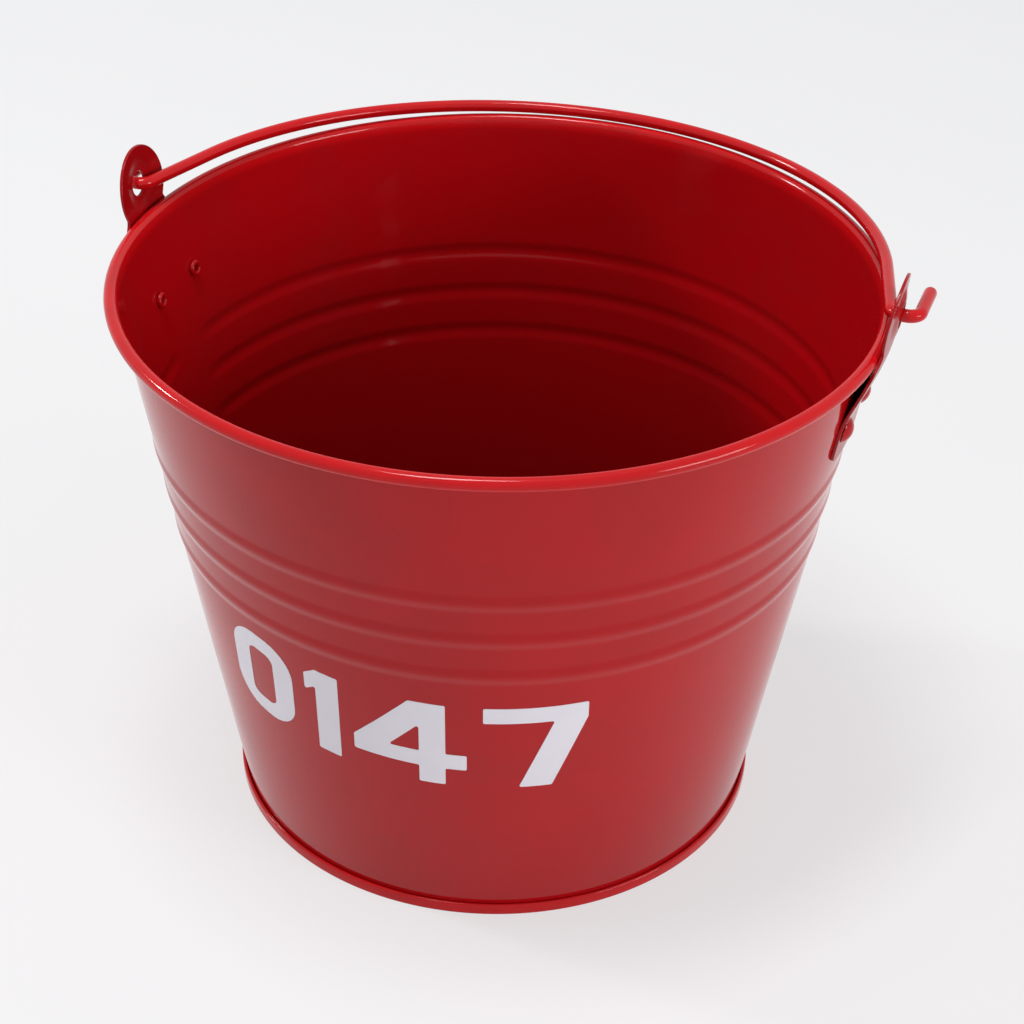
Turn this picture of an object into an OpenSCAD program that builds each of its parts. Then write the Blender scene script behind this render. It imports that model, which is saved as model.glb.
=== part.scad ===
// Fire bucket: pressed and rolled steel sheet, wired rim, double-seamed bottom,
// two riveted ears and a round wire bail. Millimetres, +Z up.
// The origin is on the axis, in the plane that the bucket stands on.
// The ears lie on -X and +X, and the marking faces -Y.

/* [Body] */
// Outer diameter over the rolled rim
rim_d = 300; // [280:1:320]
// Outer diameter of the wall just above the bottom seam
foot_d = 215; // [200:1:230]
// Height from the ground to the top of the rim
body_h = 230; // [215:1:260]
// Thickness of the body and bottom sheet
sheet_t = 0.5; // [0.4:0.1:0.7]
// Diameter of the wire inside the rolled rim
rim_wire_d = 4.1; // [3.6:0.1:5]
// Space left between the end of the curl and the wall
curl_gap = 0.4; // [0.2:0.1:0.8]

/* [Ribs] */
// Height of the topmost rib above the ground
rib_top_z = 170; // [155:1:175]
// Distance from one rib to the next
rib_pitch = 18.2; // [16.2:0.2:20]
// Number of ribs
rib_count = 3; // [1:1:3]
// Width of a rib
rib_w = 9; // [8:0.5:16]
// How far a rib stands out of the wall
rib_h = 0.6; // [0.3:0.1:1]

/* [Bottom] */
// Height of the double seam
seam_h = 5; // [4:0.5:7]
// Height of the bottom panel above the ground
panel_z = 6; // [5:0.5:9]
// Space between the folded layers, filled by the paint
fold_gap = 0.05; // [0.03:0.01:0.08]
// Size of the bevel on the outer folds of the seam
seam_bevel = 0.35; // [0.2:0.05:0.4]

/* [Ears] */
// Thickness of the ear plate
ear_t = 1.2; // [1:0.1:2]
// Radius of the round head of the ear
ear_head_r = 16.8; // [16:0.1:18]
// Height of the bail hole above the centre of the head
ear_hole_up = 1.6; // [0:0.1:3]
// Height of the bail hole above the centre of the rim bead
ear_rise = 13; // [11:0.5:16]
// Diameter of the bail hole
ear_hole_d = 10; // [8:0.5:11]
// Half the width of the waist between the head and the shoulders
ear_neck_r = 14.5; // [13.5:0.1:15]
// Height of the waist above the centre of the rim bead
ear_waist_up = 3; // [2:0.5:4]
// Height over which the shoulders widen below the waist
ear_shoulder_h = 10; // [8:0.5:14]
// Half the width of the riveted foot
ear_foot_r = 22; // [20.5:0.5:23]
// Height above the rivets at which the plate starts to bend away from the wall
ear_bend_up = 1.5; // [1:0.5:4]
// Radius of the bottom corners of the foot
ear_corner_r = 6; // [2:0.5:8]
// Outward lean of the head, in degrees
ear_lean = 6; // [3:0.5:8]
// Radius of the pressed boss around the bail hole
boss_r = 8.4; // [7:0.2:9]
// How far the boss is pressed outwards
boss_h = 1; // [0.5:0.1:1.2]
// Space between the ear and the wall, filled by the paint
ear_gap = 0.05; // [0.03:0.01:0.1]
// Space between the ear and the rim bead that it passes
ear_bead_gap = 0.3; // [0.2:0.05:0.5]

/* [Rivets] */
// Height of the rivets below the centre of the rim bead
rivet_drop = 29.4; // [27:0.2:31]
// Distance between the two rivets of an ear
rivet_span = 30.5; // [28:0.5:32]
// Distance from the rivets down to the bottom edge of the foot
rivet_margin = 13; // [11:0.5:15]
// Shank diameter
rivet_d = 4; // [3:0.5:5]
// Head diameter
rivet_head_d = 10; // [8:0.5:11]
// Head height
rivet_head_h = 2.4; // [1.6:0.1:3]
// Diameter across the rolled tail inside the bucket
rivet_tail_d = 6.8; // [6:0.2:8]
// Height of the rolled tail
rivet_tail_h = 2; // [1.5:0.1:2.5]
// Diameter of the hollow in the tail
rivet_hollow_d = 2.6; // [1.6:0.2:2.8]
// Radial space between a shank and its hole
rivet_gap = 0.05; // [0.03:0.01:0.1]

/* [Bail] */
// Diameter of the bail wire
bail_d = 5; // [4:0.5:6]
// How much smaller the radius of the bail's arc is than that of the rim bead
bail_inset = 2.9; // [2.5:0.1:3.5]
// Distance of the arc's centre from the hinge line
bail_arc_y = 5; // [4:0.5:6]
// Angle at which the straight legs spread out towards the ears, in degrees
bail_leg_a = 13.5; // [10:0.5:14]
// Centreline radius of the bends next to the ear
bail_bend_r = 4.5; // [4:0.5:6]
// Straight length of the wire that passes through the ear
bail_pass = 2; // [2:0.5:5]
// Straight length of the hook outside the ear
hook_len = 18; // [10:1:20]
// Space between the folded bail and the rim that it rests on
rest_gap = 0.3; // [0.2:0.1:0.5]

/* [Marking] */
// Height of a digit
digit_h = 43.5; // [36:0.5:46]
// Width of an upright stroke
stroke_w = 10; // [8:0.5:11]
// Width of a level stroke
bar_w = 8; // [6:0.5:9]
// Height of the bottom of the marking
digit_z = 74.5; // [65:0.5:76]
// Azimuth of the middle of the marking, in degrees
marking_angle = -89.2; // [-100:0.1:-80]
// Azimuth at which the marking stands upright, in degrees
upright_angle = -71.5; // [-100:0.5:-60]
// Space between one digit and the next
digit_gap = 6; // [4:0.5:8]
// Width of the 0
digit_0_w = 33; // [32:0.5:36]
// Outer corner radius of the 0
digit_0_r = 14; // [11.5:0.5:15.5]
// Width of the 1
digit_1_w = 15; // [13:0.5:17]
// Drop of the flag of the 1
flag_drop = 13; // [11:0.5:15]
// Width of the 4
digit_4_w = 44; // [40:0.5:46]
// Height of the level bar of the 4 above its foot
arm_z = 9; // [7:0.5:11]
// Width of the 7
digit_7_w = 39; // [36:0.5:42]
// Level width of the slanted leg of the 7
leg_w = 12.5; // [10:0.5:14]
// Distance from the left of the 7 to the foot of its leg
leg_x = 13.5; // [8:0.5:16]
// Thickness of the vinyl
vinyl_t = 0.15; // [0.1:0.01:0.2]
// Space between the vinyl and the wall, filled by the paint and the glue
vinyl_gap = 0.2; // [0.15:0.01:0.25]

/* [Hidden] */

$fn = 96;
paint_red = [0.76, 0.07, 0.10];
vinyl_white = [0.90, 0.89, 0.92];

// Rim bead: the sheet curls round the wire.
curl_in_r = rim_wire_d / 2 + fold_gap;
bead_r = curl_in_r + sheet_t;
bead_ring_r = rim_d / 2 - bead_r;
bead_z = body_h - bead_r;

// The wall rises from the top of the seam as a cone that meets the bead as a tangent.
wall_foot_r = foot_d / 2;
wall_run = bead_ring_r - wall_foot_r;
wall_rise = bead_z - seam_h;
wall_a = atan2(wall_run, wall_rise) - asin(curl_in_r / norm([wall_run, wall_rise]));
function wall_r(z) = wall_foot_r + (z - seam_h) * tan(wall_a);
skin = sheet_t / cos(wall_a);

// Curl, from the tangent point over the top and back under to the wall.
curl_start_a = 180 - wall_a;
curl_end_a = acos((curl_in_r - curl_gap) / bead_r) - wall_a - 180;
curl_steps = 40;
function bead_point(r, a) = [bead_ring_r + r * cos(a), bead_z + r * sin(a)];
function curl_a(i) = curl_start_a + (curl_end_a - curl_start_a) * i / curl_steps;

// Ribs: raised cosine waves in the wall.
rib_steps = 12;
rib_low_z = rib_top_z - (rib_count - 1) * rib_pitch;
function rib_bulge(s) = rib_h * (1 + cos(360 * s)) / 2;
wall_points = [
  for (k = [0:rib_count - 1], i = [0:rib_steps])
    let (s = i / rib_steps - 0.5, z = rib_low_z + k * rib_pitch + s * rib_w)
      [wall_r(z) + rib_bulge(s), z]
];

// Layers of the double seam, from the inside out.
chuck_in_r = wall_foot_r - 2 * sheet_t - fold_gap;
chuck_out_r = wall_foot_r - sheet_t - fold_gap;
pan_hook_in_r = wall_foot_r + fold_gap;
pan_hook_out_r = pan_hook_in_r + sheet_t;
body_hook_in_r = pan_hook_out_r + fold_gap;
body_hook_out_r = body_hook_in_r + sheet_t;
seam_in_r = body_hook_out_r + fold_gap;
seam_out_r = seam_in_r + sheet_t;
body_fold_z = sheet_t + fold_gap;
pan_hook_z = body_fold_z + sheet_t + fold_gap;
hook_top_z = seam_h - sheet_t - fold_gap;

// Bail hinge: the axis runs along X through both holes.
pivot_z = bead_z + ear_rise;
rivet_z = bead_z - rivet_drop;

// Side view of an ear: the foot follows the wall, and the head clears the bead.
// The plate is pressed to the round of the bucket, so this is turned about its axis.
ear_bottom_z = rivet_z - rivet_margin;
ear_bend_z = rivet_z + ear_bend_up;
ear_past_z = bead_z + bead_r;
ear_steps = 10;
ear_skin = ear_t / cos(wall_a);
function smooth(s) = let (c = min(1, max(0, s))) c * c * (3 - 2 * c);
function foot_x(z) = wall_r(z) + ear_gap / cos(wall_a);
function head_x(z) =
  bead_ring_r + (bead_r + ear_bead_gap) / cos(ear_lean) + (z - bead_z) * tan(ear_lean);
function ear_x(z) =
  let (s = smooth((z - ear_bend_z) / (ear_past_z - ear_bend_z)))
    foot_x(z) * (1 - s) + head_x(z) * s;
ear_head_z = pivot_z - ear_hole_up;
ear_top_z = ear_head_z + ear_head_r;
ear_side = concat(
  [ear_bottom_z],
  [for (i = [0:ear_steps]) ear_bend_z + (ear_past_z - ear_bend_z) * i / ear_steps],
  [ear_top_z]
);
waist_z = bead_z + ear_waist_up;
function ear_half_w(z) =
  ear_neck_r + (ear_foot_r - ear_neck_r) * smooth((waist_z - z) / ear_shoulder_h);

// Rivets stand square to the foot. A tail is flat and the wall inside is hollow,
// so the rim of the tail meets it first. A head meets the start of the bend first.
rivet_a = asin(rivet_span / 2 / ear_x(rivet_z));
tail_r = rivet_tail_d / 2;
tail_sag = wall_r(rivet_z) - sqrt(pow(wall_r(rivet_z), 2) - pow(tail_r, 2));
rivet_seat = ear_gap + sheet_t + tail_sag;
tail_ring_r = rivet_tail_h / 2;
head_top_z = rivet_z + rivet_head_d / 2;
head_seat = ear_t + (ear_x(head_top_z) - foot_x(head_top_z)) * cos(wall_a) + rivet_gap;
drill_reach = rivet_seat + head_seat + rivet_head_h;

// Bail: each leg leaves the arc as a tangent and runs into the bend at the ear.
bail_r = bail_d / 2;
wire_sides = 32;
wire_ease = 0.01;
wire_plug = 0.2;
bail_arc_r = bead_ring_r - bail_inset;
leg_reach = bail_arc_r + bail_arc_y * sin(bail_leg_a);
pass_x = (leg_reach + bail_bend_r * (1 - sin(bail_leg_a))) / cos(bail_leg_a);
leg_len = (bail_arc_y - bail_bend_r) * cos(bail_leg_a) + pass_x * sin(bail_leg_a);

// Folded back, its plane turns about the hinge until the wire lies over the rim.
bail_back = bail_arc_r + bail_arc_y;
pivot_reach = norm([bead_ring_r, ear_rise]);
rest_reach = bead_r + bail_r + rest_gap;
rest_cos = (pow(bail_back, 2) + pow(pivot_reach, 2) - pow(rest_reach, 2)) / (2 * bail_back * pivot_reach);
bail_tilt = atan2(ear_rise, bead_ring_r) - acos(rest_cos);

// Marking: four digits stand side by side on the cone, as one straight line of
// vinyl laid flat on it. Each leans with its place on the cone.
digit_widths = [digit_0_w, digit_1_w, digit_4_w, digit_7_w];
function digit_left(i) = i == 0 ? 0 : digit_left(i - 1) + digit_widths[i - 1] + digit_gap;
last_digit = len(digit_widths) - 1;
marking_w = digit_left(last_digit) + digit_widths[last_digit];
marking_r = wall_r(digit_z + digit_h / 2);
function digit_a(i) =
  marking_angle + (digit_left(i) + digit_widths[i] / 2 - marking_w / 2) / marking_r * 180 / PI;
function digit_lean(a) = (a - upright_angle) * sin(wall_a);
apex_reach = wall_foot_r / sin(wall_a);
function digit_lift(a) = apex_reach * (1 / cos(digit_lean(a)) - 1);
vinyl_margin = digit_h / 5;
vinyl_low_z = digit_z - vinyl_margin;
vinyl_high_z = digit_z + digit_h + vinyl_margin;
vinyl_in_gap = vinyl_gap / cos(wall_a);
vinyl_skin_w = vinyl_t / cos(wall_a);
cut_depth = digit_h / 4;

// Profile of the body sheet: hook, wall with ribs, and curl.
module shell_profile() {
  polygon(concat(
    [[wall_foot_r - sheet_t, body_fold_z],
     [body_hook_out_r, body_fold_z],
     [body_hook_out_r, hook_top_z],
     [body_hook_in_r, hook_top_z],
     [body_hook_in_r, body_fold_z + sheet_t],
     [wall_foot_r, body_fold_z + sheet_t],
     [wall_foot_r, seam_h]],
    wall_points,
    [for (i = [0:curl_steps]) bead_point(curl_in_r, curl_a(i))],
    [for (i = [curl_steps:-1:0]) bead_point(bead_r, curl_a(i))],
    [for (i = [len(wall_points) - 1:-1:0]) wall_points[i] - [skin, 0]],
    [[wall_foot_r - sheet_t, seam_h]]
  ));
}

// One rivet's axis: origin on the inner face of the foot, +Z outwards.
module at_rivet(side, row) {
  mirror([side < 0 ? 1 : 0, 0, 0])
    rotate([0, 0, row * rivet_a])
      translate([ear_x(rivet_z), 0, rivet_z])
        rotate([0, 90 + wall_a, 0])
          children();
}

module rivet_holes(side) {
  for (row = [-1, 1])
    at_rivet(side, row)
      translate([0, 0, -drill_reach])
        cylinder(r = rivet_d / 2 + rivet_gap, h = 2 * drill_reach);
}

module bucket_shell() {
  color(paint_red)
    difference() {
      rotate_extrude($fn = 180) shell_profile();
      rivet_holes(-1);
      rivet_holes(1);
    }
}

module rim_wire() {
  color(paint_red)
    rotate_extrude($fn = 180)
      translate([bead_ring_r, bead_z])
        circle(r = rim_wire_d / 2);
}

// Bottom panel, chuck wall, ground fold, seam wall and hook in one sheet.
module base_pan() {
  color(paint_red)
    rotate_extrude($fn = 180)
      polygon([
        [0, panel_z - sheet_t],
        [chuck_in_r, panel_z - sheet_t],
        [chuck_in_r, seam_bevel],
        [chuck_in_r + seam_bevel, 0],
        [seam_out_r - seam_bevel, 0],
        [seam_out_r, seam_bevel],
        [seam_out_r, seam_h - seam_bevel],
        [seam_out_r - seam_bevel, seam_h],
        [pan_hook_in_r, seam_h],
        [pan_hook_in_r, pan_hook_z],
        [pan_hook_out_r, pan_hook_z],
        [pan_hook_out_r, seam_h - sheet_t],
        [seam_in_r, seam_h - sheet_t],
        [seam_in_r, sheet_t],
        [chuck_out_r, sheet_t],
        [chuck_out_r, panel_z],
        [0, panel_z]
      ]);
}

// Front view of an ear, Y to the right and Z up.
module ear_front() {
  translate([0, ear_head_z]) circle(r = ear_head_r);
  polygon(concat(
    [[ear_neck_r, ear_head_z], [-ear_neck_r, ear_head_z]],
    [for (i = [0:ear_steps])
      let (z = waist_z - ear_shoulder_h * i / ear_steps) [-ear_half_w(z), z]],
    [[-ear_foot_r, ear_bottom_z + ear_corner_r], [ear_foot_r, ear_bottom_z + ear_corner_r]],
    [for (i = [ear_steps:-1:0])
      let (z = waist_z - ear_shoulder_h * i / ear_steps) [ear_half_w(z), z]]
  ));
  translate([ear_corner_r - ear_foot_r, ear_bottom_z])
    square([2 * (ear_foot_r - ear_corner_r), 2 * ear_corner_r]);
  for (side = [-1, 1])
    translate([side * (ear_foot_r - ear_corner_r), ear_bottom_z + ear_corner_r])
      circle(r = ear_corner_r);
}

// Side view of an ear, X outwards and Z up.
module ear_profile() {
  polygon(concat(
    [for (z = ear_side) [ear_x(z), z]],
    [for (i = [len(ear_side) - 1:-1:0]) [ear_x(ear_side[i]) + ear_skin, ear_side[i]]]
  ));
}

// Dished boss round the bail hole: z = 0 is the inner face of the head.
module at_boss() {
  translate([ear_x(pivot_z), 0, pivot_z])
    rotate([0, 90 + ear_lean, 0])
      children();
}

module ear(side) {
  color(paint_red)
    difference() {
      mirror([side < 0 ? 1 : 0, 0, 0])
        difference() {
          union() {
            intersection() {
              rotate_extrude($fn = 180) ear_profile();
              rotate([90, 0, 90]) linear_extrude(rim_d) ear_front();
            }
            at_boss()
              translate([0, 0, ear_t / 2])
                cylinder(r1 = boss_r + boss_h + ear_t / 2, r2 = boss_r, h = boss_h + ear_t / 2);
          }
          at_boss()
            translate([0, 0, -boss_h])
              cylinder(r1 = boss_r + boss_h, r2 = boss_r - boss_h, h = 2 * boss_h);
          translate([0, 0, pivot_z])
            rotate([0, 90, 0])
              cylinder(d = ear_hole_d, h = rim_d);
        }
      rivet_holes(side);
    }
}

module left_ear() {
  ear(-1);
}

module right_ear() {
  ear(1);
}

// Semi-tubular rivet: domed head outside, shank, and a tail rolled over inside.
module rivet(side, row) {
  head_ball_r = (pow(rivet_head_d / 2, 2) + pow(rivet_head_h, 2)) / (2 * rivet_head_h);
  tail_z = -rivet_seat - rivet_tail_h;
  color(paint_red)
    at_rivet(side, row)
      difference() {
        union() {
          intersection() {
            translate([0, 0, head_seat + rivet_head_h - head_ball_r]) sphere(r = head_ball_r);
            translate([0, 0, head_seat]) cylinder(d = rivet_head_d, h = rivet_head_h);
          }
          translate([0, 0, tail_z + tail_ring_r])
            cylinder(d = rivet_d, h = head_seat + rivet_head_h / 2 - tail_z - tail_ring_r);
          translate([0, 0, tail_z + tail_ring_r])
            rotate_extrude()
              translate([tail_r - tail_ring_r, 0])
                circle(r = tail_ring_r);
        }
        translate([0, 0, tail_z])
          cylinder(d = rivet_hollow_d, h = rivet_tail_h + rivet_seat / 2);
      }
}

module left_front_rivet() {
  rivet(-1, -1);
}

module left_back_rivet() {
  rivet(-1, 1);
}

module right_front_rivet() {
  rivet(1, -1);
}

module right_back_rivet() {
  rivet(1, 1);
}

// A straight run of the bail wire along -Y. It is a hair thinner than the arcs and
// reaches into them, so that no two surfaces coincide. Children start at its end.
module wire_run(length) {
  translate([0, wire_plug, 0])
    rotate([90, 0, 0])
      cylinder(r = bail_r - wire_ease, h = length + 2 * wire_plug, $fn = wire_sides);
  translate([0, -length, 0]) children();
}

// An arc of the bail wire about the origin, in the XY plane, from the +X axis on.
module wire_arc(r, sweep) {
  rotate_extrude(angle = sweep)
    translate([r, 0])
      circle(r = bail_r, $fn = wire_sides);
}

// A bend of the bail wire from -Y towards +X. Children start at its end, facing -Y again.
module wire_bend(sweep) {
  translate([bail_bend_r, 0, 0]) {
    rotate([0, 0, 180]) wire_arc(bail_bend_r, sweep);
    rotate([0, 0, sweep])
      translate([-bail_bend_r, 0, 0])
        children();
  }
}

// The +X end of the bail about the centre of its arc: leg, out through the ear, then
// hooked back.
module bail_end() {
  rotate([0, 0, bail_leg_a])
    translate([bail_arc_r, 0, 0])
      wire_run(leg_len)
        wire_bend(90 - bail_leg_a)
          wire_run(bail_pass)
            wire_bend(90)
              wire_run(hook_len)
                sphere(r = bail_r, $fn = wire_sides);
}

module bail_handle() {
  color(paint_red)
    translate([0, 0, pivot_z])
      rotate([-bail_tilt, 0, 0])
        translate([0, bail_arc_y, 0]) {
          rotate([0, 0, bail_leg_a]) wire_arc(bail_arc_r, 180 - 2 * bail_leg_a);
          bail_end();
          mirror([1, 0, 0]) bail_end();
        }
}

// Thin cone of vinyl just outside the wall, from which the digits are cut.
module vinyl_skin() {
  rotate_extrude($fn = 180)
    translate([vinyl_in_gap, 0])
      polygon([
        [wall_r(vinyl_low_z), vinyl_low_z],
        [wall_r(vinyl_low_z) + vinyl_skin_w, vinyl_low_z],
        [wall_r(vinyl_high_z) + vinyl_skin_w, vinyl_high_z],
        [wall_r(vinyl_high_z), vinyl_high_z]
      ]);
}

// Cuts one digit's outline, drawn from (0, 0) to (w, digit_h), out of the vinyl.
module place_digit(i) {
  a = digit_a(i);
  mid_z = digit_z + digit_h / 2 * cos(wall_a) + digit_lift(a) * cos(wall_a);
  color(vinyl_white)
    intersection() {
      vinyl_skin();
      rotate([0, 0, a])
        translate([wall_r(mid_z), 0, mid_z])
          rotate([0, wall_a, 0])
            rotate([90, 0, 90])
              rotate([0, 0, digit_lean(a)])
                translate([-digit_widths[i] / 2, -digit_h / 2, -cut_depth])
                  linear_extrude(2 * cut_depth)
                    children();
    }
}

// A rectangle whose corners are quarter circles.
module round_box(w, h, r) {
  translate([r, 0]) square([w - 2 * r, h]);
  translate([0, r]) square([w, h - 2 * r]);
  for (x = [r, w - r], y = [r, h - r])
    translate([x, y]) circle(r = r);
}

module digit_0() {
  place_digit(0)
    difference() {
      round_box(digit_0_w, digit_h, digit_0_r);
      translate([stroke_w, bar_w])
        round_box(digit_0_w - 2 * stroke_w, digit_h - 2 * bar_w, digit_0_r - stroke_w);
    }
}

module digit_1() {
  stem_x = digit_1_w - stroke_w;
  place_digit(1)
    polygon([
      [stem_x, 0],
      [digit_1_w, 0],
      [digit_1_w, digit_h],
      [stem_x, digit_h],
      [0, digit_h - bar_w / 2],
      [0, digit_h - flag_drop],
      [stem_x, digit_h - flag_drop + bar_w / 2]
    ]);
}

module digit_4() {
  stem_x = digit_4_w - stroke_w - bar_w;
  arm_top_z = arm_z + bar_w;
  place_digit(2)
    difference() {
      polygon([
        [stem_x, 0],
        [stem_x + stroke_w, 0],
        [stem_x + stroke_w, arm_z],
        [digit_4_w, arm_z],
        [digit_4_w, arm_top_z],
        [stem_x + stroke_w, arm_top_z],
        [stem_x + stroke_w, digit_h],
        [stem_x - bar_w / 2, digit_h],
        [0, arm_top_z],
        [0, arm_z],
        [stem_x, arm_z]
      ]);
      polygon([
        [stroke_w + bar_w / 2, arm_top_z],
        [stem_x, arm_top_z],
        [stem_x, digit_h - stroke_w - bar_w / 4]
      ]);
    }
}

module digit_7() {
  bar_z = digit_h - bar_w;
  place_digit(3)
    polygon([
      [0, digit_h],
      [digit_7_w, digit_h],
      [digit_7_w, bar_z],
      [leg_x + leg_w, 0],
      [leg_x, 0],
      [digit_7_w - leg_w, bar_z],
      [0, bar_z]
    ]);
}

bucket_shell();
rim_wire();
base_pan();
left_ear();
right_ear();
left_front_rivet();
left_back_rivet();
right_front_rivet();
right_back_rivet();
bail_handle();
digit_0();
digit_1();
digit_4();
digit_7();
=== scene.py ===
import math

import bmesh
import bpy
from mathutils import Matrix, Vector


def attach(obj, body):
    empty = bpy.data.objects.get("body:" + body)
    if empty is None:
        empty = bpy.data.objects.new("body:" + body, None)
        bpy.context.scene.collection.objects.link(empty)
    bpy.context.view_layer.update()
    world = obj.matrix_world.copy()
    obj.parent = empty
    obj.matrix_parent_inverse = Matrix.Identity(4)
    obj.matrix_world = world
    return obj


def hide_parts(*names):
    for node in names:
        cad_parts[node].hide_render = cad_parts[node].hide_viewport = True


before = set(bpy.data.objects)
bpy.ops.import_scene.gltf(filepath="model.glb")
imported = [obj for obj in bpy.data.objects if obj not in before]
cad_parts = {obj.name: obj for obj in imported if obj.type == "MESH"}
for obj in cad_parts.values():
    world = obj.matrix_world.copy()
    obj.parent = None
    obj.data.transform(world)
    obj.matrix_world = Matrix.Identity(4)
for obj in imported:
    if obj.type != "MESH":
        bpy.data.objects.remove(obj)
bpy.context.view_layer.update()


# Studio: a pale floor under soft light. The camera stands in front, a little to the
# right and well above the rim, as the photograph's did.

def linear(hex_colour):
    """An sRGB hex colour as linear red, green, blue and alpha."""
    parts = [int(hex_colour[i:i + 2], 16) / 255 for i in (1, 3, 5)]
    return [c / 12.92 if c <= 0.04045 else ((c + 0.055) / 1.055) ** 2.4 for c in parts] + [1]


def put(tree, kind, inputs=None, **settings):
    """Adds a node to a tree. Each of its inputs is given a value or another node's output."""
    node = tree.nodes.new(kind)
    for name, value in settings.items():
        setattr(node, name, value)
    for name, value in (inputs or {}).items():
        if isinstance(value, bpy.types.NodeSocket):
            tree.links.new(value, node.inputs[name])
        else:
            node.inputs[name].default_value = value
    return node


def new_material(name):
    """An empty material, with its tree, a surface shader and object coordinates."""
    material = bpy.data.materials.new(name)
    material.use_nodes = True
    tree = material.node_tree
    tree.nodes.clear()
    shader = put(tree, "ShaderNodeBsdfPrincipled")
    put(tree, "ShaderNodeOutputMaterial", {"Surface": shader.outputs["BSDF"]})
    coords = put(tree, "ShaderNodeTexCoord").outputs["Object"]
    return material, tree, shader, coords


def mesh_object(name, mesh):
    """A new object that shows a mesh."""
    made = bpy.data.objects.new(name, mesh)
    bpy.context.scene.collection.objects.link(made)
    return made


camera_place = Vector((0.2590, -0.7394, 0.6355))
camera_heading = math.radians(18.87)
camera_dip = math.radians(33.36)
camera_roll = math.radians(0.98)
camera_data = bpy.data.cameras.new("camera")
camera_data.lens = 80.85
camera_data.sensor_width = 36
camera_data.clip_end = 50
camera = bpy.data.objects.new("camera", camera_data)
camera.matrix_world = (
    Matrix.Translation(camera_place)
    @ Matrix.Rotation(camera_heading, 4, "Z")
    @ Matrix.Rotation(math.pi / 2 - camera_dip, 4, "X")
    @ Matrix.Rotation(camera_roll, 4, "Z")
)
bpy.context.scene.collection.objects.link(camera)
bpy.context.scene.camera = camera
bpy.context.scene.view_settings.view_transform = "Standard"


def background_share(tree, share):
    """A share for what is seen directly, mirrored or through glass, and 0 for what only lights."""
    rays = put(tree, "ShaderNodeLightPath").outputs
    seen = put(tree, "ShaderNodeMath", {
        0: rays["Is Camera Ray"], 1: rays["Is Glossy Ray"]}, operation="MAXIMUM")
    seen = put(tree, "ShaderNodeMath", {
        0: seen.outputs[0], 1: rays["Is Transmission Ray"]}, operation="MAXIMUM")
    shown = put(tree, "ShaderNodeMath", {0: seen.outputs[0], 1: share}, operation="MULTIPLY")
    return shown.outputs[0]


FLOOR_HALF = 6.0
FLOOR_WHITE = 0.64
BACKDROP_WHITE = 0.7
SKY = linear("#F4F5F7")
SKY_STRENGTH = 0.38

floor_mesh = bpy.data.meshes.new("floor")
corners = [(-FLOOR_HALF, -FLOOR_HALF, 0), (FLOOR_HALF, -FLOOR_HALF, 0)]
corners += [(FLOOR_HALF, FLOOR_HALF, 0), (-FLOOR_HALF, FLOOR_HALF, 0)]
floor_mesh.from_pydata(corners, [], [(0, 1, 2, 3)])
floor = mesh_object("floor", floor_mesh)

# White laminate: satin, and faintly blotchy. A share of it is seen as plain white, so
# that it stays pale while the bucket still casts a shadow on it.
floor_paint, tree, shader, coords = new_material("white_laminate")
blotch = put(tree, "ShaderNodeTexNoise", {"Vector": coords, "Scale": 7.0, "Detail": 3.0})
tone = put(tree, "ShaderNodeMix", {
    0: blotch.outputs["Fac"], "A": linear("#EEEEEF"), "B": linear("#E8E9EB")}, data_type="RGBA")
tree.links.new(tone.outputs["Result"], shader.inputs["Base Color"])
shader.inputs["Roughness"].default_value = 0.45
shader.inputs["Specular IOR Level"].default_value = 0.25
white = put(tree, "ShaderNodeEmission", {"Color": linear("#F7F7F8"), "Strength": 1.0})
mixed = put(tree, "ShaderNodeMixShader", {
    0: background_share(tree, FLOOR_WHITE), 1: shader.outputs[0], 2: white.outputs[0]})
tree.links.new(mixed.outputs[0], tree.nodes["Material Output"].inputs["Surface"])
floor.data.materials.append(floor_paint)

# The sky lights the bucket softly and is seen as a brighter backdrop.
world = bpy.data.worlds.new("studio")
bpy.context.scene.world = world
world.use_nodes = True
tree = world.node_tree
tree.nodes.clear()
sky = put(tree, "ShaderNodeBackground", {"Color": SKY, "Strength": SKY_STRENGTH})
backdrop = put(tree, "ShaderNodeBackground", {"Color": SKY, "Strength": 1.0})
mixed = put(tree, "ShaderNodeMixShader", {
    0: background_share(tree, BACKDROP_WHITE), 1: sky.outputs[0], 2: backdrop.outputs[0]})
put(tree, "ShaderNodeOutputWorld", {"Surface": mixed.outputs[0]})


def softbox(name, place, aim, width, height, watts, spread=180):
    """Adds a rectangular lamp that faces a point. The spread of its beam is in degrees."""
    data = bpy.data.lights.new(name, "AREA")
    data.shape = "RECTANGLE"
    data.size = width
    data.size_y = height
    data.energy = watts
    data.spread = math.radians(spread)
    lamp = bpy.data.objects.new(name, data)
    facing = (Vector(aim) - Vector(place)).to_track_quat("-Z", "Y")
    lamp.matrix_world = Matrix.Translation(place) @ facing.to_matrix().to_4x4()
    bpy.context.scene.collection.objects.link(lamp)


# The strip above is the main light. The window lights the left of the wall, and the box
# and the right wall fill.
softbox("ceiling_box", (0, 0, 2.4), (0, 0, 0.1), 1.6, 1.6, 3)
softbox("ceiling_strip", (-0.18, -0.33, 2.3), (-0.1, -0.2, 0.2), 0.4, 0.8, 23)
softbox("side_window", (-1.92, -0.08, 1.23), (0, 0, 0.2), 0.26, 0.32, 14)
softbox("right_wall", (2.6, -0.7, 0.8), (0, 0, 0.1), 1.2, 0.7, 11, 110)


# Body: half a millimetre of steel sheet rolled to a cone and welded down one side.
# Three ribs are pressed out of it all round, but run out at the weld, and the top
# edge is curled outwards and down round a wire.

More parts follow.
